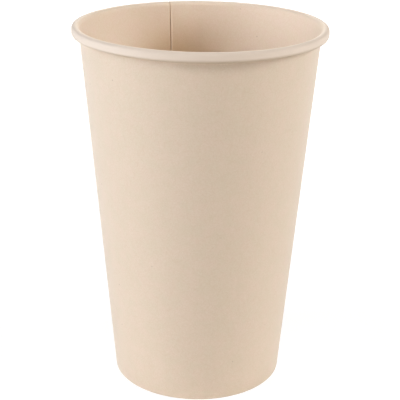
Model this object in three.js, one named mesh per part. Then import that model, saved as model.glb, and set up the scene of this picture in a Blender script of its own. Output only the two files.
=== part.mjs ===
// Paper milkshake cup. One fan-shaped blank of paperboard is wrapped into a cone and sealed along a lap,
// its top edge is rolled outwards into the rim and its bottom edge is folded in and up around the skirt
// of a drawn bottom disc. Each of the two papers carries a thin waterproof lining on its inner face.
// Millimetres, +Z up, origin in the middle of the foot, with the lap at the back, towards +Y.
import * as THREE from "three";

// Overall sizes
const cupHeight = 132;
const rimDiameter = 90; // over the rolled rim, which takes a 90 mm lid
const footDiameter = 62.5; // over the side wall, where its line meets the table

// Sheets
const wallPaper = 0.4;
const discPaper = 0.32;
const lining = 0.04;
const bond = 0.01; // between a paper and its own lining
const seal = 0.02; // between two layers that are heat-sealed together

// Rolled rim
const rimWidth = 3.05;
const rimHeight = 3.4;
const rimFullness = 0.12; // how far the roll swells past an ellipse at its two outer corners, as a share
const curlTurn = 390; // degrees of roll
const curlTightens = 225; // degrees of roll after which the curl draws in
const curlGap = 0.1; // between the curl's second turn and the wall

// Lap seam
const seamAngle = 106; // degrees round from +X to the edge that shows inside
const lapWidth = 12; // measured at the rim, as is the jog
const jogWidth = 1.2; // over which the sheet steps out past the edge that it covers
const pressedFade = 4; // height over which the lap thins to one sheet, by the rim and by the bottom

// Foot and bottom disc
const footRecess = 9; // from the table up to the disc
const tuckGap = 2.5; // from the folded-in edge up to the disc
const foldRadius = 0.06; // inside the fold
const skirtGap = 0.6; // from the inside of the fold up to the skirt's edge
const discCorner = 0.9; // outer bend from the disc into its skirt
const wallAboveDisc = 0.6; // before the lap starts to stand free

// Facets
const openSteps = 45; // round the wall, outside the lap
const lapSteps = 3;
const jogSteps = 2;
const quarterSteps = 4; // to a quarter turn of the curl
const bendSteps = 2;

const degree = Math.PI / 180;
const fullTurn = 2 * Math.PI;
const mix = THREE.MathUtils.lerp;
const clamp = THREE.MathUtils.clamp;

// Thickness of each paper with its lining, and the room that the fold leaves for the disc's skirt
const wallSheet = lining + bond + wallPaper;
const discSheet = lining + bond + discPaper;
const skirtSlot = discSheet + 2 * seal;

// The rim's section is an ellipse with a fuller outer half, and the wall leans out from the foot's edge to
// touch it.
const halfWidth = rimWidth / 2;
const halfHeight = rimHeight / 2;
const rimCentre = { r: rimDiameter / 2 - halfWidth, z: cupHeight - halfHeight };
const taper = wallTaper();

function wallTaper() {
  const passes = 20;
  let angle = 0;
  for (let pass = 0; pass < passes; pass++) {
    const reach = Math.hypot(halfWidth * Math.cos(angle), halfHeight * Math.sin(angle));
    const overhang = rimCentre.r - footDiameter / 2 - (reach - wallSheet) / Math.cos(angle);
    angle = Math.atan2(overhang, rimCentre.z);
  }
  return angle;
}

// Radius at a height of the cone that lies a given depth inside the wall's inner face
function coneRadius(z, depth) {
  const outerFace = (footDiameter / 2) * Math.cos(taper);
  return (outerFace - wallSheet - depth + z * Math.sin(taper)) / Math.cos(taper);
}

// A place on a sheet's lined face: its radius and height, the direction through the sheet towards the
// bare face, and how far a lap is pressed down to one sheet there, from 0 to 1.
function place(r, z, through, pressed) {
  return { r, z, nr: Math.cos(through), nz: Math.sin(through), pressed };
}

// A bend about a centre, from one direction through the sheet to another. The lined face is inside the
// bend where the radius is positive, and outside it where the radius is negative.
function bend(centreR, centreZ, radius, from, to) {
  return Array.from({ length: bendSteps + 1 }, (_, step) => {
    const through = mix(from, to, step / bendSteps);
    return place(centreR + radius * Math.cos(through), centreZ + radius * Math.sin(through), through, 1);
  });
}

// The curl: the rim's section from where the wall touches it, drawn in late so that it passes the wall
function curl() {
  const start = Math.atan2(halfHeight * Math.sin(taper), halfWidth * Math.cos(taper));
  const tightens = start + curlTightens * degree;
  const drawnIn = (wallSheet + curlGap) / (start + fullTurn - tightens);
  const at = (roll) => {
    const shrink = drawnIn * Math.max(0, roll - tightens);
    const swell = Math.cos(roll) < 0 ? 1 + rimFullness * Math.sin(2 * roll) ** 2 : 1;
    return new THREE.Vector2(
      rimCentre.r - (halfWidth - shrink) * swell * Math.cos(roll),
      rimCentre.z + (halfHeight - shrink) * swell * Math.sin(roll),
    );
  };
  const rolls = turnsBetween([
    [start, quarterSteps],
    [fullTurn / 4, quarterSteps],
    [fullTurn / 2, quarterSteps],
    [(fullTurn * 3) / 4, quarterSteps],
    [fullTurn, bendSteps],
    [start + curlTurn * degree, 0],
  ]);
  const nudge = 1e-4;
  return rolls.map((roll) => {
    const along = at(roll + nudge).sub(at(roll - nudge));
    const { x: r, y: z } = at(roll);
    return place(r, z, Math.atan2(-along.x, along.y), 1);
  });
}

// The wall's blank in section: folded-in edge, fold, wall and curl
function wallPath() {
  const foldZ = wallSheet + foldRadius;
  const tuckTop = footRecess - tuckGap;
  const discTop = footRecess + discSheet;
  const rolled = curl();
  const upright = (z, pressed) => place(coneRadius(z, 0), z, -taper, pressed);
  return [
    place(coneRadius(tuckTop, skirtSlot), tuckTop, Math.PI - taper, 1),
    ...bend(coneRadius(foldZ, skirtSlot - foldRadius), foldZ, foldRadius, Math.PI - taper, 1.5 * Math.PI),
    ...bend(coneRadius(foldZ, foldRadius), foldZ, foldRadius, -Math.PI / 2, -taper),
    upright(discTop + wallAboveDisc, 1),
    upright(discTop + wallAboveDisc + pressedFade, 0),
    upright(rolled[0].z - pressedFade, 0),
    ...rolled,
  ];
}

// The bottom disc in section, from the axis out and down its skirt
function discPath() {
  const top = footRecess + discSheet;
  const cornerZ = top - discCorner;
  const skirtEnd = wallSheet + skirtGap;
  return [
    place(0, top, -Math.PI / 2, 1),
    ...bend(coneRadius(cornerZ, seal + discCorner), cornerZ, -discCorner, -Math.PI / 2, -Math.PI - taper),
    place(coneRadius(skirtEnd, seal), skirtEnd, -Math.PI - taper, 1),
  ];
}

// Turns round the cup, as angles from the blank's inner edge to its outer edge one lap past a full turn
const topRadius = rimCentre.r - halfWidth;
const lapAngle = lapWidth / topRadius;
const jogAngle = jogWidth / topRadius;
const blankTurns = turnsBetween([
  [0, lapSteps],
  [lapAngle, jogSteps],
  [lapAngle + jogAngle, openSteps],
  [fullTurn - jogAngle, jogSteps],
  [fullTurn, lapSteps],
  [fullTurn + lapAngle, 0],
]);
const ringTurns = blankTurns.slice(0, -lapSteps - 1);

// Each stop gives where a stretch starts and how many steps it has up to the next stop.
function turnsBetween(stops) {
  const turns = stops.slice(0, -1).flatMap(([from, steps], index) => {
    const to = stops[index + 1][0];
    return Array.from({ length: steps }, (_, step) => mix(from, to, step / steps));
  });
  return [...turns, stops[stops.length - 1][0]];
}

// How deep the wall's two faces lie at a turn, measured through the sheet from a single layer's lined face.
// A free lap has the outer layer a whole sheet further out. A pressed lap shares one sheet's thickness.
function wallFaces(turn, pressed) {
  const half = (wallSheet - seal) / 2;
  const under = 1 - clamp((turn - lapAngle) / jogAngle, 0, 1);
  const over = clamp((turn - fullTurn + jogAngle) / jogAngle, 0, 1);
  const freeLined = over * (wallSheet + seal);
  const lined = mix(freeLined, over * (wallSheet - half), pressed);
  const bare = mix(freeLined + wallSheet, mix(wallSheet, half, under), pressed);
  return { lined, bare };
}

function discFaces() {
  return { lined: 0, bare: discSheet };
}

// A layer of a sheet as one closed body: it runs along a path and round the cup, between two depths that
// are shares of the sheet's thickness. A ring closes on itself, and otherwise the layer has two side edges.
function layerGeometry(path, turns, facesAt, shares, isRing) {
  const positions = [];
  const corners = turns.map((turn) =>
    path.map((spot) => {
      const { lined, bare } = facesAt(turn, spot.pressed);
      const angle = seamAngle * degree - turn;
      return shares.map((share) => {
        const depth = mix(lined, bare, share);
        const r = spot.r + depth * spot.nr;
        positions.push(r * Math.cos(angle), r * Math.sin(angle), spot.z + depth * spot.nz);
        return positions.length / 3 - 1;
      });
    }),
  );
  // Places on the axis share one corner all round.
  path.forEach((spot, step) => {
    if (spot.r === 0) corners.forEach((column) => (column[step] = corners[0][step]));
  });

  const index = [];
  const triangle = (a, b, c) => {
    if (a !== b && b !== c && c !== a) index.push(a, b, c);
  };
  const quad = (a, b, c, d) => {
    triangle(a, b, c);
    triangle(a, c, d);
  };
  const last = path.length - 1;
  const columnCount = isRing ? turns.length : turns.length - 1;
  for (let side = 0; side < columnCount; side++) {
    const here = corners[side];
    const next = corners[(side + 1) % turns.length];
    for (let step = 0; step < last; step++) {
      quad(here[step][1], here[step + 1][1], next[step + 1][1], next[step][1]);
      quad(here[step][0], next[step][0], next[step + 1][0], here[step + 1][0]);
    }
    quad(here[0][0], here[0][1], next[0][1], next[0][0]);
    quad(here[last][0], next[last][0], next[last][1], here[last][1]);
  }
  if (!isRing) {
    const first = corners[0];
    const end = corners[turns.length - 1];
    for (let step = 0; step < last; step++) {
      quad(first[step][0], first[step + 1][0], first[step + 1][1], first[step][1]);
      quad(end[step][0], end[step][1], end[step + 1][1], end[step + 1][0]);
    }
  }
  const geometry = new THREE.BufferGeometry();
  geometry.setAttribute("position", new THREE.Float32BufferAttribute(positions, 3));
  geometry.setIndex(index);
  geometry.computeVertexNormals();
  return geometry;
}

function liningShares(sheet) {
  return [0, lining / sheet];
}

function paperShares(sheet) {
  return [(lining + bond) / sheet, 1];
}

const paperFinish = { roughness: 0.85, metalness: 0 };
const liningFinish = { roughness: 0.4, metalness: 0 };

function piece(name, geometry, color, finish) {
  const mesh = new THREE.Mesh(geometry, new THREE.MeshStandardMaterial({ color, ...finish }));
  mesh.name = name;
  return mesh;
}

function wallLayer(shares) {
  return layerGeometry(wallPath(), blankTurns, wallFaces, shares, false);
}

function discLayer(shares) {
  return layerGeometry(discPath(), ringTurns, discFaces, shares, true);
}

const cup = new THREE.Group();
cup.name = "paper_cup";
cup.add(
  piece("side_wall", wallLayer(paperShares(wallSheet)), 0xdcc8b2, paperFinish),
  piece("wall_lining", wallLayer(liningShares(wallSheet)), 0xe4d1be, liningFinish),
  piece("bottom_disc", discLayer(paperShares(discSheet)), 0xd9c5ae, paperFinish),
  piece("bottom_lining", discLayer(liningShares(discSheet)), 0xe1cdb9, liningFinish),
);

export default cup;
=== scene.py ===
import math

import bpy
from mathutils import Matrix, Vector, noise

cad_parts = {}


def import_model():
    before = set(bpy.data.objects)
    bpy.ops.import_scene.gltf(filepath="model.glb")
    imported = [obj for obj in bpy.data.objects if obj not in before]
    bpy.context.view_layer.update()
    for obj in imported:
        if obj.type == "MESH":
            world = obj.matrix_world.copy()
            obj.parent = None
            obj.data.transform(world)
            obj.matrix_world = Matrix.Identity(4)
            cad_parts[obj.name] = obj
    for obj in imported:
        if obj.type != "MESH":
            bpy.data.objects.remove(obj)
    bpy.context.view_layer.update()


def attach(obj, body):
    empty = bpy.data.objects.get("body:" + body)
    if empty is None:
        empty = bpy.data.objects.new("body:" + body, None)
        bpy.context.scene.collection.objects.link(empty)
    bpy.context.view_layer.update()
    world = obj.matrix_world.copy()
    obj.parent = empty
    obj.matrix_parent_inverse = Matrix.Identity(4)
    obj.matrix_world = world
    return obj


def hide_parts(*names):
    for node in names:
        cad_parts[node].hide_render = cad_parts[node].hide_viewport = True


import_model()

MM = 0.001

# Cup sizes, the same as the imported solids'
CUP_HEIGHT = 132 * MM
RIM_RADIUS = 45 * MM
FOOT_RADIUS = 31.25 * MM
RIM_HALF_WIDTH = 1.525 * MM
RIM_HALF_HEIGHT = 1.7 * MM
WALL_PAPER = 0.4 * MM
DISC_PAPER = 0.32 * MM
LINING = 0.04 * MM
BOND = 0.01 * MM
SEAL = 0.02 * MM
WALL_SHEET = LINING + BOND + WALL_PAPER
DISC_SHEET = LINING + BOND + DISC_PAPER
SKIRT_SLOT = DISC_SHEET + 2 * SEAL

# Rolled rim
RIM_FULLNESS = 0.12
CURL_TURN = math.radians(390)
CURL_TIGHTENS = math.radians(225)
CURL_GAP = 0.1 * MM

# Lap seam, as angles from the edge that shows inside, clockwise seen from above
SEAM_ANGLE = math.radians(106)
TOP_RADIUS = RIM_RADIUS - 2 * RIM_HALF_WIDTH
LAP_ANGLE = 12 * MM / TOP_RADIUS
JOG_ANGLE = 1.2 * MM / TOP_RADIUS
PRESSED_FADE = 4 * MM

# Foot and bottom disc
FOOT_RECESS = 9 * MM
TUCK_GAP = 2.5 * MM
FOLD_RADIUS = 0.06 * MM
SKIRT_GAP = 0.6 * MM
DISC_CORNER = 0.9 * MM
WALL_ABOVE_DISC = 0.6 * MM

# Marks that the making leaves. Depths go through the sheet, and the rim's sag and hang go straight down.
LAP_FLATTENING = 0.2 * MM
SEAM_EDGE_LIFT = 0.08 * MM
SEAM_EDGE_REACH = 0.9 * MM
KNURL_RIBS = 80
KNURL_DEPTH = 0.12 * MM
FOOT_MARKS = 0.03 * MM
PUCKER_DEPTH = 0.05 * MM
PUCKER_WIDTH = 3.5 * MM
PUCKER_BAND = 5 * MM
WRINKLE_DEPTH = 0.12 * MM
# Each wrinkle's turn and its height
WRINKLES = [(math.radians(35), 128.6 * MM), (math.radians(55), 129 * MM), (math.radians(196), 128.4 * MM)]
RIM_SAG = 0.35 * MM
ROLL_HANG = 0.28 * MM
EDGE_LINE = 0.5 * MM
DISC_CROWN = 0.35 * MM
PLEATS = 52
PLEAT_DEPTH = 0.05 * MM

# Fineness of the meshes
COLUMN_ANGLE = math.radians(0.75)
FINE_COLUMN_ANGLE = math.radians(0.16)
FINE_STRETCH = math.radians(2)
CURL_STEP = math.radians(11.25)
BEND_STEPS = 4
WALL_STEP = 8 * MM
FINE_STEP = 1 * MM
FINE_FOOT = 8 * MM
FINE_TOP = 7 * MM
JOG_COLUMNS = 6
# Rings of points on the disc's flat part, as shares of its radius
DISC_RINGS = (0, 0.15, 0.3, 0.45, 0.6, 0.75, 0.85, 0.92, 0.97)
MERGED = 0.003 * MM
SMOOTH_ANGLE = math.radians(50)


def mix(low, high, share):
    return low + (high - low) * share


def clamp(value):
    return min(1, max(0, value))


def smooth(value):
    share = clamp(value)
    return share * share * (3 - 2 * share)


def rise(distance, reach):
    """A round-topped rise, from 1 in its middle to 0 at its reach."""
    return smooth(1 - abs(distance) / reach)


def radius(point):
    return math.hypot(point.x, point.y)


# Section of the cup, along the lined face of its sheets

RIM_CENTRE = (RIM_RADIUS - RIM_HALF_WIDTH, CUP_HEIGHT - RIM_HALF_HEIGHT)


def wall_taper():
    """The wall leans out from the foot's edge to touch the rolled rim's section."""
    passes = 20
    angle = 0
    for _ in range(passes):
        reach = math.hypot(RIM_HALF_WIDTH * math.cos(angle), RIM_HALF_HEIGHT * math.sin(angle))
        overhang = RIM_CENTRE[0] - FOOT_RADIUS - (reach - WALL_SHEET) / math.cos(angle)
        angle = math.atan2(overhang, RIM_CENTRE[1])
    return angle


TAPER = wall_taper()


def cone_radius(z, depth):
    """Radius at a height of the cone that lies a depth inside the wall's lined face."""
    outer_face = FOOT_RADIUS * math.cos(TAPER)
    return (outer_face - WALL_SHEET - depth + z * math.sin(TAPER)) / math.cos(TAPER)


def bend(centre, bend_radius, start, end):
    """Points of a bend, given by the direction through the sheet at its two ends."""
    points = []
    for step in range(BEND_STEPS + 1):
        through = mix(start, end, step / BEND_STEPS)
        across = bend_radius * math.cos(through)
        up = bend_radius * math.sin(through)
        points.append((centre[0] + across, centre[1] + up))
    return points


def curl():
    """The rim's section, an ellipse with a fuller outer half, from where the wall touches it. It is drawn in
    late, so that it passes the wall."""
    start = math.atan2(RIM_HALF_HEIGHT * math.sin(TAPER), RIM_HALF_WIDTH * math.cos(TAPER))
    tightens = start + CURL_TIGHTENS
    drawn_in = (WALL_SHEET + CURL_GAP) / (start + math.tau - tightens)
    quarter = math.pi / 2
    stops = [start, quarter, 2 * quarter, 3 * quarter, 4 * quarter, start + CURL_TURN]
    rolls = [roll for low, high in zip(stops, stops[1:]) for roll in between(low, high, CURL_STEP)]
    points = []
    for roll in [*rolls, stops[-1]]:
        shrink = drawn_in * max(0, roll - tightens)
        swell = 1 + RIM_FULLNESS * math.sin(2 * roll) ** 2 if math.cos(roll) < 0 else 1
        across = (RIM_HALF_WIDTH - shrink) * swell * math.cos(roll)
        up = (RIM_HALF_HEIGHT - shrink) * swell * math.sin(roll)
        points.append((RIM_CENTRE[0] - across, RIM_CENTRE[1] + up))
    return points


def between(low, high, spacing):
    """Evenly spaced values from one end of a stretch to just short of the other."""
    steps = max(1, round((high - low) / spacing))
    return [mix(low, high, step / steps) for step in range(steps)]


def wall_section():
    """Folded-in edge, fold, wall and curl."""
    fold_z = WALL_SHEET + FOLD_RADIUS
    tuck_top = FOOT_RECESS - TUCK_GAP
    rolled = curl()
    top = rolled[0][1]
    tuck_heights = [*between(fold_z + FINE_STEP / 2, tuck_top, FINE_STEP / 2), tuck_top]
    wall_heights = [
        *between(fold_z + FINE_STEP / 2, FINE_FOOT, FINE_STEP),
        *between(FINE_FOOT, top - FINE_TOP, WALL_STEP),
        *between(top - FINE_TOP, top, FINE_STEP),
    ]
    tuck = [(cone_radius(z, SKIRT_SLOT), z) for z in reversed(tuck_heights)]
    inner_centre = (cone_radius(fold_z, SKIRT_SLOT - FOLD_RADIUS), fold_z)
    outer_centre = (cone_radius(fold_z, FOLD_RADIUS), fold_z)
    inner_bend = bend(inner_centre, FOLD_RADIUS, math.pi - TAPER, 1.5 * math.pi)
    outer_bend = bend(outer_centre, FOLD_RADIUS, -math.pi / 2, -TAPER)
    wall = [(cone_radius(z, 0), z) for z in wall_heights]
    return tuck + inner_bend + outer_bend + wall + rolled


def disc_section():
    """From the axis out and down the skirt."""
    top = FOOT_RECESS + DISC_SHEET
    corner_z = top - DISC_CORNER
    corner_r = cone_radius(corner_z, SEAL + DISC_CORNER)
    skirt_heights = between(WALL_SHEET + SKIRT_GAP, corner_z, FINE_STEP)
    flat = [(corner_r * share, top) for share in DISC_RINGS]
    corner = bend((corner_r, corner_z), -DISC_CORNER, -math.pi / 2, -math.pi - TAPER)
    skirt = [(cone_radius(z, SEAL), z) for z in reversed(skirt_heights)]
    return flat + corner + skirt


# Modelling steps shared by the pieces

def draw_section(name, section, turn):
    """Starts a piece as a plane merged to one point, and extrudes the point along the section."""
    bpy.ops.object.select_all(action="DESELECT")
    bpy.ops.mesh.primitive_plane_add(size=MM)
    piece = bpy.context.object
    piece.name = name
    piece.data.name = name
    bpy.ops.object.mode_set(mode="EDIT")
    bpy.ops.mesh.select_all(action="SELECT")
    bpy.ops.mesh.merge(type="CENTER")
    angle = SEAM_ANGLE - turn
    here = Vector((0, 0, 0))
    for index, (r, z) in enumerate(section):
        there = Vector((r * math.cos(angle), r * math.sin(angle), z))
        if index == 0:
            bpy.ops.transform.translate(value=there - here)
        else:
            bpy.ops.mesh.extrude_region_move(TRANSFORM_OT_translate={"value": there - here})
        here = there
    bpy.ops.mesh.select_all(action="SELECT")
    return piece


def spin_on(angle, column_angle):
    """Sweeps the selected section on round the cup's axis, clockwise seen from above."""
    steps = max(1, round(angle / column_angle))
    bpy.ops.mesh.spin(steps=steps, angle=angle, center=(0, 0, 0), axis=(0, 0, 1))


def merge_doubles():
    bpy.ops.object.mode_set(mode="EDIT")
    bpy.ops.mesh.select_all(action="SELECT")
    bpy.ops.mesh.remove_doubles(threshold=MERGED)


def close_sheet(piece, looks_right, first_turn):
    """Merges doubled points, turns the faces to the sheet's bare side, and notes how far round points lie."""
    merge_doubles()
    bpy.ops.mesh.normals_make_consistent(inside=False)
    bpy.ops.object.mode_set(mode="OBJECT")
    if not looks_right(piece.data.polygons):
        bpy.ops.object.mode_set(mode="EDIT")
        bpy.ops.mesh.flip_normals()
        bpy.ops.object.mode_set(mode="OBJECT")
    slack = 1e-4
    turns = piece.data.attributes.new("turn", "FLOAT", "POINT")
    for vertex, noted in zip(piece.data.vertices, turns.data):
        turn = SEAM_ANGLE - math.atan2(vertex.co.y, vertex.co.x)
        noted.value = first_turn + (turn - first_turn + slack) % math.tau - slack


def wall_looks_out(faces):
    half_height = CUP_HEIGHT / 2
    face = min(faces, key=lambda face: abs(face.center.z - half_height))
    return face.normal.x * face.center.x + face.normal.y * face.center.y > 0


def disc_looks_down(faces):
    return min(faces, key=lambda face: radius(face.center)).normal.z < 0


def shares(piece, share_at):
    """A share for each point, from its turn and its place."""
    turns = piece.data.attributes["turn"].data
    return [clamp(share_at(noted.value, vertex.co)) for vertex, noted in zip(piece.data.vertices, turns)]


def note_shares(piece, name, share_at):
    """Keeps the shares as an attribute that a material reads."""
    noted = piece.data.attributes.new(name, "FLOAT", "POINT")
    noted.data.foreach_set("value", shares(piece, share_at))


def weigh(piece, name, share_at):
    group = piece.vertex_groups.new(name=name)
    for index, share in enumerate(shares(piece, share_at)):
        if share > 0:
            group.add([index], share, "REPLACE")


def press(piece, features, direction="NORMAL"):
    """Presses features into a sheet, each by its depth times a share at each point. They go towards the bare
    side, or along an axis."""
    pick(piece)
    for name, depth, share_at in features:
        weigh(piece, name, share_at)
        feature = piece.modifiers.new(name, "DISPLACE")
        feature.direction = direction
        feature.strength = depth
        feature.mid_level = 0
        feature.vertex_group = name
    for name, *_ in features:
        bpy.ops.object.modifier_apply(modifier=name)


def pick(piece):
    """Selects one piece alone and makes it the active one."""
    bpy.ops.object.select_all(action="DESELECT")
    piece.select_set(True)
    bpy.context.view_layer.objects.active = piece


def copy_piece(piece, name):
    pick(piece)
    bpy.ops.object.duplicate()
    copied = bpy.context.object
    copied.name = name
    copied.data.name = name
    return copied


def thicken(piece, start, thickness, group=""):
    """Gives a sheet its body, from a depth through the sheet."""
    pick(piece)
    bpy.ops.object.mode_set(mode="EDIT")
    bpy.ops.mesh.select_all(action="SELECT")
    bpy.ops.transform.shrink_fatten(value=start)
    bpy.ops.object.mode_set(mode="OBJECT")
    solid = piece.modifiers.new("body", "SOLIDIFY")
    solid.thickness = thickness
    solid.offset = 1
    solid.use_even_offset = True
    solid.use_rim = True
    solid.material_offset_rim = 1
    solid.vertex_group = group
    bpy.ops.object.modifier_apply(modifier=solid.name)
    bpy.ops.object.shade_smooth_by_angle(angle=SMOOTH_ANGLE)


def finish_piece(piece, node, materials):
    for material in materials:
        piece.data.materials.append(material)
    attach(piece, "root")
    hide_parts(node)


# Side wall: where its features lie on the blank

def on_roll(point):
    """Whether a point is on the rolled rim: above its middle, or clearly outside the wall."""
    return point.z > RIM_CENTRE[1] or radius(point) - cone_radius(point.z, 0) > 0.5 * WALL_PAPER


def on_tuck(point):
    """Whether a point is on the folded-in edge, on the inner side of the skirt's slot."""
    return radius(point) < cone_radius(point.z, 0.5 * SKIRT_SLOT)


def pressed(point):
    """How far the lap is pressed to one sheet: at the rim, and beside and below the bottom disc."""
    disc_top = FOOT_RECESS + DISC_SHEET + WALL_ABOVE_DISC
    from_disc = (point.z - disc_top) / PRESSED_FADE
    from_rim = (RIM_CENTRE[1] - point.z) / PRESSED_FADE
    return 1 if on_roll(point) else 1 - smooth(min(from_disc, from_rim))


def under_lap(turn):
    """1 along the layer under the lap, falling to 0 over the jog."""
    return 1 - smooth((turn - LAP_ANGLE) / JOG_ANGLE)


def over_lap(turn):
    """1 along the layer over the lap, rising from 0 over its last stretch before the lap."""
    steep = JOG_ANGLE / 2
    return smooth((turn - math.tau + steep) / steep)


def lap_step(turn, point):
    """Where the sheet steps out over the edge that it covers."""
    return over_lap(turn) * (1 - pressed(point))


def pressed_lap(turn, point):
    return over_lap(turn) * pressed(point)


def flat_lap(turn, point):
    """The doubled paper bends less than the rest, so the lap is flatter than the cone."""
    across = (turn % math.tau) / LAP_ANGLE
    return 4 * across * (1 - across) * (1 - pressed(point))


def open_inside(point):
    """1 where the wall shows inside the cup, fading out over the rim and above the bottom."""
    over_rim = smooth((RIM_CENTRE[0] - radius(point)) / RIM_HALF_WIDTH)
    return over_rim * smooth((point.z - FOOT_RECESS) / PRESSED_FADE)


def seam_edge(turn, point):
    return rise(turn * radius(point), SEAM_EDGE_REACH) * open_inside(point)


def ribbed(turn, count):
    return 0.5 - 0.5 * math.cos(turn * count)


def within(value, low, high, fade):
    return smooth((value - low) / fade) * smooth((high - value) / fade)


def knurl(turn, point):
    """Ribs on the folded-in edge, left by the wheel that presses the foot's layers together."""
    band = within(point.z, low=1.2 * MM, high=5.6 * MM, fade=0.5 * MM)
    return ribbed(turn, KNURL_RIBS) * band if on_tuck(point) else 0


def foot_marks(turn, point):
    """The same ribs, showing faintly and unevenly through the outside of the foot."""
    patch = 9 * MM
    band = within(point.z, low=1 * MM, high=6.5 * MM, fade=1.5 * MM)
    uneven = clamp(0.5 + noise.noise(point / patch))
    return 0 if on_tuck(point) else ribbed(turn, KNURL_RIBS) * band * uneven


def pucker(turn, point):
    """Slight unevenness of the roll and of the wall just under it."""
    band = 1 if on_roll(point) else smooth(1 - (RIM_CENTRE[1] - point.z) / PUCKER_BAND)
    round_rim = Vector((math.cos(turn), math.sin(turn), 0)) * (TOP_RADIUS / PUCKER_WIDTH)
    along = Vector((0, 0, (point.z + radius(point)) / (2 * PUCKER_WIDTH)))
    return band * (0.5 + 0.5 * noise.noise(round_rim + along)) if band > 0 else 0


def wrinkles(turn, point):
    """A few short creases inside, where the roll starts."""
    width = 1.3 * MM
    height = 1.5 * MM
    slant = 0.6
    if radius(point) > RIM_CENTRE[0]:
        return 0
    deepest = 0
    for crease_turn, crease_z in WRINKLES:
        up = point.z - crease_z
        across = (turn - crease_turn) * TOP_RADIUS - slant * up
        deepest = max(deepest, rise(across, width) * rise(up, height))
    return deepest


def rim_sag(turn, point):
    """The rim isn't quite level: it is lowest to the right of the front."""
    lowest_angle = math.radians(-48)
    reach = math.radians(85)
    level_below = 50 * MM
    away = math.remainder(SEAM_ANGLE - turn - lowest_angle, math.tau)
    return rise(away, reach) * smooth((point.z - level_below) / (CUP_HEIGHT - level_below))


def below_centre(point):
    """How far a point lies below the roll's centre, as a share of the roll's half height."""
    return (RIM_CENTRE[1] - point.z) / RIM_HALF_HEIGHT


def roll_hang(turn, point):
    """The roll's underside hangs a little lower round the front."""
    reach = math.radians(50)
    starts_above = 0.3
    from_front = math.remainder(SEAM_ANGLE - turn + math.pi / 2, math.tau)
    under = smooth(below_centre(point) + starts_above)
    return rise(from_front, reach) * under if on_roll(point) else 0


def paper_left(turn, point):
    """Share of the paper's thickness that is left: where the lap is pressed, two layers share one sheet's."""
    pressed_paper = (WALL_SHEET - SEAL) / 2 - LINING - BOND
    thinned = max(under_lap(turn), over_lap(turn)) * pressed(point)
    return mix(1, pressed_paper / WALL_PAPER, thinned)


def painted_shade_by_lap(turn, point):
    """Painted shade inside the cup on both sides of the seam, darkest further down where less light reaches,
    but not on the lap's edge.
    """
    reach = math.radians(36)
    full_depth = 34 * MM
    beside = 1 - smooth(abs(math.remainder(turn, math.tau)) / reach)
    off_edge = 1 - rise(turn * radius(point), EDGE_LINE)
    return beside * off_edge * smooth((CUP_HEIGHT - point.z) / full_depth)


def painted_sheen_on_roll(turn, point):
    """Painted sheen: a paler colour over the outside of the roll, where the film's gloss whitens it."""
    starts_inside = 0.7
    outwards = (radius(point) - RIM_CENTRE[0]) / RIM_HALF_WIDTH
    return smooth(outwards + starts_inside) if on_roll(point) else 0


def painted_shade_under_roll(turn, point):
    """Painted shade on the lowest part of the roll, which lies deep in the crease above the wall."""
    steepness = 1.7
    outside = on_roll(point) and radius(point) > RIM_CENTRE[0]
    return smooth(1 - steepness * (1 - below_centre(point))) if outside else 0


def painted_highlight_on_lap_edge(turn, point):
    """Painted highlight along the lap's edge, where the edge catches the light."""
    return rise(turn * radius(point), EDGE_LINE) * open_inside(point)


WALL_FEATURES = [
    ("lap_step", WALL_SHEET + SEAL, lap_step),
    ("pressed_lap", (WALL_SHEET + SEAL) / 2, pressed_lap),
    ("flat_lap", -LAP_FLATTENING, flat_lap),
    ("seam_edge", -SEAM_EDGE_LIFT, seam_edge),
    ("knurl", KNURL_DEPTH, knurl),
    ("foot_marks", FOOT_MARKS, foot_marks),
    ("pucker", PUCKER_DEPTH, pucker),
    ("wrinkles", -WRINKLE_DEPTH, wrinkles),
]


def formed_wall(name, spins, first_turn):
    """One stretch of the blank, swept round in spins and pressed to its form."""
    stretch = draw_section(name, wall_section(), first_turn)
    for angle, column_angle in spins:
        spin_on(angle, column_angle)
    close_sheet(stretch, wall_looks_out, first_turn)
    weigh(stretch, "paper_left", paper_left)
    press(stretch, WALL_FEATURES)
    press(stretch, [("rim_sag", -RIM_SAG, rim_sag), ("roll_hang", -ROLL_HANG, roll_hang)], "Z")
    return stretch


def wall_blank():
    """The whole blank as one surface: the layer under the lap with its jog, then the rest of the turn."""
    under = formed_wall("under_layer", [
        (FINE_STRETCH, FINE_COLUMN_ANGLE),
        (LAP_ANGLE - FINE_STRETCH, COLUMN_ANGLE),
        (JOG_ANGLE, JOG_ANGLE / JOG_COLUMNS),
    ], 0)
    blank = formed_wall("wall_of_paper", [
        (math.tau - LAP_ANGLE - JOG_ANGLE - FINE_STRETCH, COLUMN_ANGLE),
        (2 * FINE_STRETCH, FINE_COLUMN_ANGLE),
        (LAP_ANGLE - FINE_STRETCH, COLUMN_ANGLE),
    ], LAP_ANGLE + JOG_ANGLE)
    under.select_set(True)
    bpy.ops.object.join()
    merge_doubles()
    bpy.ops.object.mode_set(mode="OBJECT")
    return blank


# Bottom disc

def crown(turn, point):
    """The disc rises slightly to its middle."""
    flat_top = FOOT_RECESS + DISC_SHEET / 2
    from_axis = radius(point) / cone_radius(FOOT_RECESS, 2 * DISC_CORNER)
    return 1 - smooth(from_axis) if point.z > flat_top else 0


def pleats(turn, point):
    """Small gathers round the corner, where the disc was drawn down into its skirt."""
    reach = 4 * MM
    lowest = FOOT_RECESS - TUCK_GAP + FINE_STEP / 2
    above_tuck = smooth((point.z - lowest) / FINE_STEP)
    near_corner = smooth((radius(point) - cone_radius(FOOT_RECESS, 0)) / reach + 1)
    return ribbed(turn, PLEATS) * above_tuck * near_corner


def disc_blank():
    disc = draw_section("disc_of_paper", disc_section(), 0)
    spin_on(math.tau, COLUMN_ANGLE)
    close_sheet(disc, disc_looks_down, 0)
    press(disc, [("crown", -DISC_CROWN, crown), ("pleats", PLEAT_DEPTH, pleats)])
    return disc


# Materials

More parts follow.
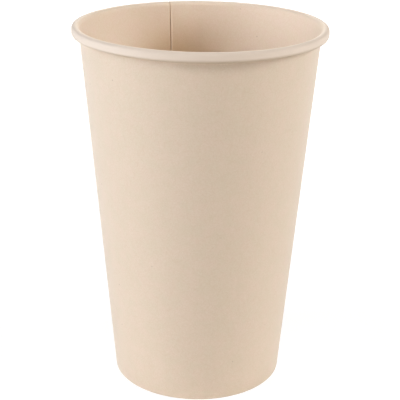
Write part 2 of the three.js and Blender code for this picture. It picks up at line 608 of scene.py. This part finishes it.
def linear(hex_colour):
    """An sRGB hex value as a linear colour."""
    def channel(value):
        return value / 12.92 if value <= 0.04045 else ((value + 0.055) / 1.055) ** 2.4
    values = [int(hex_colour[start:start + 2], 16) / 255 for start in (1, 3, 5)]
    return (*[channel(value) for value in values], 1)


def add_node(tree, kind, inputs=None, **settings):
    """Adds a node with its settings. An input is a value, or another node's output to link."""
    node = tree.nodes.new(kind)
    for name, value in settings.items():
        setattr(node, name, value)
    for socket, value in (inputs or {}).items():
        if isinstance(value, bpy.types.NodeSocket):
            tree.links.new(value, node.inputs[socket])
        else:
            node.inputs[socket].default_value = value
    return node


def new_material(name):
    material = bpy.data.materials.new(name)
    material.use_nodes = True
    material.node_tree.nodes.clear()
    return material, material.node_tree


def per_metre(size):
    """A texture's scale for features of a real size."""
    return 1 / size


def mapped(tree, value, low, high, at_low=0, at_high=1):
    """Turns a value's place between two limits into a place between two other values."""
    inputs = {"Value": value, "From Min": low, "From Max": high, "To Min": at_low, "To Max": at_high}
    return add_node(tree, "ShaderNodeMapRange", inputs).outputs["Result"]


def blended(tree, share, under, over, blend_type="MIX"):
    """One colour laid over another by a share."""
    inputs = {"Factor": share, "A": under, "B": over}
    return add_node(tree, "ShaderNodeMix", inputs, data_type="RGBA", blend_type=blend_type).outputs["Result"]


def noted_share(tree, name):
    """A share that a piece's points carry, and 0 on pieces whose points carry none."""
    return add_node(tree, "ShaderNodeAttribute", attribute_name=name).outputs["Fac"]


# Sizes in the pulp
BLOTCH_SIZE = 4.5 * MM
GRAIN_SIZE = 0.5 * MM
STRAND_SPACING = 2.6 * MM
STRAND_DRIFT = 2.2 * MM
DRIFT_SIZE = 2.5 * MM
SPECK_SPACING = 7 * MM

# Tones laid over the pulp's own colours: bark specks, and painted shade, sheen and highlight
BARK = "#8d6d4f"
# Painted shade beside the lap, deeper down inside the cup
LAP_SHADE_TONE = "#dec9a8"
# Painted sheen on the outside of the roll
ROLL_SHEEN_TONE = "#e3d1bf"
# Painted shade on the roll's underside
UNDER_ROLL_SHADE = "#dcd4c8"
# Painted highlight along the lap's edge
LAP_EDGE_HIGHLIGHT = "#ffe9d2"


def pulp_material(name, pink, straw, deep, grain, roughness, shine, relief):
    """Unbleached bamboo pulp, pressed smooth: soft blotches where the pulp settled unevenly, a fine grain
    of short fibres, and a few darker specks of bark. The shares that the wall's lining carries lay painted
    shade beside the lap and under the roll, a painted sheen over the roll and a painted highlight along the
    lap's edge."""
    material, tree = new_material(name)
    place = add_node(tree, "ShaderNodeTexCoord").outputs["Object"]
    cloud = add_node(tree, "ShaderNodeTexNoise", {
        "Vector": place, "Scale": per_metre(BLOTCH_SIZE), "Detail": 2, "Roughness": 0.5})
    fine = add_node(tree, "ShaderNodeTexNoise", {
        "Vector": place, "Scale": per_metre(GRAIN_SIZE), "Detail": 2, "Roughness": 0.6})
    drift = add_node(tree, "ShaderNodeTexNoise", {
        "Vector": place, "Scale": per_metre(DRIFT_SIZE), "Detail": 1})
    bent = add_node(tree, "ShaderNodeVectorMath", {
        0: drift.outputs["Color"], 1: (STRAND_DRIFT, STRAND_DRIFT, STRAND_DRIFT), 2: place},
        operation="MULTIPLY_ADD")
    strands = add_node(tree, "ShaderNodeTexVoronoi", {
        "Vector": bent.outputs["Vector"], "Scale": per_metre(STRAND_SPACING)}, feature="DISTANCE_TO_EDGE")
    bark = add_node(tree, "ShaderNodeTexVoronoi", {"Vector": place, "Scale": per_metre(SPECK_SPACING)})

    settled = mapped(tree, cloud.outputs["Fac"], low=0.35, high=0.65)
    grained = mapped(tree, fine.outputs["Fac"], low=0.35, high=0.7, at_low=grain, at_high=0)
    fibred = mapped(tree, strands.outputs["Distance"], low=0, high=0.05, at_low=grain / 2, at_high=0)
    specked = mapped(tree, bark.outputs["Distance"], low=0.02, high=0.045, at_low=0.45, at_high=0)
    colour = blended(tree, settled, linear(pink), linear(straw))
    colour = blended(tree, grained, colour, linear(deep))
    colour = blended(tree, fibred, colour, linear(deep))
    colour = blended(tree, specked, colour, linear(BARK))
    # Painted shade beside the lap seam, deepening further down
    colour = blended(tree, noted_share(tree, "painted_shade_by_lap"), colour, linear(LAP_SHADE_TONE), "MULTIPLY")
    # Painted sheen over the outside of the roll
    colour = blended(tree, noted_share(tree, "painted_sheen_on_roll"), colour, linear(ROLL_SHEEN_TONE))
    # Painted shade on the underside of the roll
    colour = blended(tree, noted_share(tree, "painted_shade_under_roll"), colour, linear(UNDER_ROLL_SHADE), "MULTIPLY")
    # Painted highlight along the lap's edge
    colour = blended(tree, noted_share(tree, "painted_highlight_on_lap_edge"), colour, linear(LAP_EDGE_HIGHLIGHT))

    spread = 0.05
    rough = mapped(
        tree, fine.outputs["Fac"], low=0.3, high=0.7, at_low=roughness - spread, at_high=roughness + spread)
    bumps = add_node(tree, "ShaderNodeBump", {
        "Height": fine.outputs["Fac"], "Distance": relief, "Strength": 1})
    surface = add_node(tree, "ShaderNodeBsdfPrincipled", {
        "Base Color": colour, "Roughness": rough, "IOR": 1.5,
        "Specular IOR Level": shine, "Normal": bumps.outputs["Normal"]})
    add_node(tree, "ShaderNodeOutputMaterial", {"Surface": surface.outputs["BSDF"]})
    return material


# Calendered board: a soft sheen that whitens the lit bands
wall_paper = pulp_material(
    "calendered_bamboo_paperboard", pink="#dfcab6", straw="#dccab4", deep="#c8a67b",
    grain=0.2, roughness=0.42, shine=0.25, relief=0.006 * MM)
# Thin film over the same pulp: a paler face with a flatter grain and less sheen
lined_paper = pulp_material(
    "film_lined_bamboo_paperboard", pink="#f4dfcc", straw="#f2e0ca", deep="#dfbe93",
    grain=0.2, roughness=0.55, shine=0.2, relief=0.004 * MM)
# Cut through the board: open fibres, rough and dull
cut_edge = pulp_material(
    "cut_edge_of_paperboard", pink="#e2cdb8", straw="#dcc7ae", deep="#bfa88c",
    grain=0.3, roughness=0.85, shine=0.3, relief=0.02 * MM)


# Pieces

wall = wall_blank()
wall_lining = copy_piece(wall, "lining_of_wall")
# Masks of painted shade, sheen and highlight that the lining's material lays over its colour
note_shares(wall_lining, "painted_shade_by_lap", painted_shade_by_lap)
note_shares(wall_lining, "painted_sheen_on_roll", painted_sheen_on_roll)
note_shares(wall_lining, "painted_shade_under_roll", painted_shade_under_roll)
note_shares(wall_lining, "painted_highlight_on_lap_edge", painted_highlight_on_lap_edge)
thicken(wall, LINING + BOND, WALL_PAPER, "paper_left")
finish_piece(wall, "side_wall", [wall_paper, cut_edge])
thicken(wall_lining, 0, LINING)
finish_piece(wall_lining, "wall_lining", [lined_paper, lined_paper])

disc = disc_blank()
disc_lining = copy_piece(disc, "lining_of_disc")
thicken(disc, LINING + BOND, DISC_PAPER)
finish_piece(disc, "bottom_disc", [wall_paper, cut_edge])
thicken(disc_lining, 0, LINING)
finish_piece(disc_lining, "bottom_lining", [lined_paper, lined_paper])


# Stage: a white floor, soft lamps round the cup, and the photograph's camera

WHITE = (1, 1, 1, 1)
SHADED_GREY = (0.3, 0.3, 0.3, 1)
PALE_FLOOR = "#f4f4f4"
FLOOR_SIZE = 6
FILL_STRENGTH = 0.02


def shown_rays(tree):
    """1 for the rays that see the surroundings: straight, in a reflection or through something clear."""
    path = add_node(tree, "ShaderNodeLightPath")
    seen = add_node(tree, "ShaderNodeMath", {
        0: path.outputs["Is Camera Ray"], 1: path.outputs["Is Glossy Ray"]}, operation="MAXIMUM")
    shown = add_node(tree, "ShaderNodeMath", {
        0: seen.outputs["Value"], 1: path.outputs["Is Transmission Ray"]}, operation="MAXIMUM")
    return shown.outputs["Value"]


def floor():
    """White where it shows, with a share of its real shading kept, so that the cup's shadow stays."""
    bpy.ops.object.select_all(action="DESELECT")
    bpy.ops.mesh.primitive_plane_add(size=FLOOR_SIZE)
    ground = bpy.context.object
    ground.name = "floor"
    material, tree = new_material("pale_studio_floor")
    place = add_node(tree, "ShaderNodeTexCoord").outputs["Object"]
    away = add_node(tree, "ShaderNodeVectorMath", {0: place}, operation="LENGTH").outputs["Value"]
    glow = mapped(tree, away, low=0.08, high=0.4, at_low=0.8, at_high=1)
    white = add_node(tree, "ShaderNodeEmission", {"Color": WHITE, "Strength": glow})
    part_lit = add_node(tree, "ShaderNodeBsdfDiffuse", {"Color": SHADED_GREY})
    shown = add_node(tree, "ShaderNodeAddShader", {0: white.outputs["Emission"], 1: part_lit.outputs["BSDF"]})
    pale = add_node(tree, "ShaderNodeBsdfDiffuse", {"Color": linear(PALE_FLOOR)})
    bounce = mapped(tree, away, low=0.1, high=0.3, at_low=0.22, at_high=0)
    lit = add_node(tree, "ShaderNodeEmission", {"Color": WHITE, "Strength": bounce})
    bright = add_node(tree, "ShaderNodeAddShader", {0: pale.outputs["BSDF"], 1: lit.outputs["Emission"]})
    either = add_node(tree, "ShaderNodeMixShader", {
        0: shown_rays(tree), 1: bright.outputs["Shader"], 2: shown.outputs["Shader"]})
    add_node(tree, "ShaderNodeOutputMaterial", {"Surface": either.outputs["Shader"]})
    ground.data.materials.append(material)


def world():
    surroundings = bpy.data.worlds.new("studio")
    surroundings.use_nodes = True
    tree = surroundings.node_tree
    tree.nodes.clear()
    white = add_node(tree, "ShaderNodeBackground", {"Color": WHITE, "Strength": 1})
    fill = add_node(tree, "ShaderNodeBackground", {"Color": WHITE, "Strength": FILL_STRENGTH})
    either = add_node(tree, "ShaderNodeMixShader", {
        0: shown_rays(tree), 1: fill.outputs["Background"], 2: white.outputs["Background"]})
    add_node(tree, "ShaderNodeOutputWorld", {"Surface": either.outputs["Shader"]})
    bpy.context.scene.world = surroundings


CUP_MIDDLE = Vector((0, 0, 70 * MM))
LAMP_DISTANCE = 1
COOL = "#eaf3ff"
NEUTRAL = "#f5f8fc"
WARM = "#fff5e8"
# Each lamp's azimuth and elevation in degrees, its width and height in metres, its watts and its colour
LAMPS = [
    ("left_softbox", -70, 22, 0.5, 0.6, 8.6, COOL),
    ("right_softbox", 82, 28, 0.5, 0.4, 6.9, NEUTRAL),
    ("front_softbox", 0, 8, 0.4, 0.35, 0.8, WARM),
    ("high_softbox", 0, 50, 0.5, 0.4, 1.8, WARM),
    ("back_softbox", 180, 25, 0.42, 0.45, 3.2, WARM),
]


def softbox(name, azimuth, elevation, width, height, watts, colour):
    """A soft lamp that faces the cup. Azimuth 0 is on the camera's side, and 90 to its right."""
    around = math.radians(azimuth)
    up = math.radians(elevation)
    away = Vector((math.sin(around) * math.cos(up), -math.cos(around) * math.cos(up), math.sin(up)))
    bpy.ops.object.light_add(type="AREA", location=CUP_MIDDLE + LAMP_DISTANCE * away)
    lamp = bpy.context.object
    lamp.name = name
    lamp.data.shape = "RECTANGLE"
    lamp.data.size = width
    lamp.data.size_y = height
    lamp.data.energy = watts
    lamp.data.color = linear(colour)[:3]
    lamp.rotation_euler = (-away).to_track_quat("-Z", "Y").to_euler()


def camera():
    """The photograph's view, found from the rim's and the foot's outlines."""
    viewpoint = (0.544 * MM, -380.75 * MM, 209.2 * MM)
    elevation = math.radians(20.59)
    roll = math.radians(0.66)
    data = bpy.data.cameras.new("view")
    data.lens = 98.81
    data.sensor_width = 36
    viewer = bpy.data.objects.new("view", data)
    bpy.context.scene.collection.objects.link(viewer)
    turned = Matrix.Rotation(math.pi / 2 - elevation, 4, "X") @ Matrix.Rotation(roll, 4, "Z")
    viewer.matrix_world = Matrix.Translation(viewpoint) @ turned
    bpy.context.scene.camera = viewer


floor()
world()
for lamp in LAMPS:
    softbox(*lamp)
camera()
bpy.context.scene.view_settings.view_transform = "Standard"
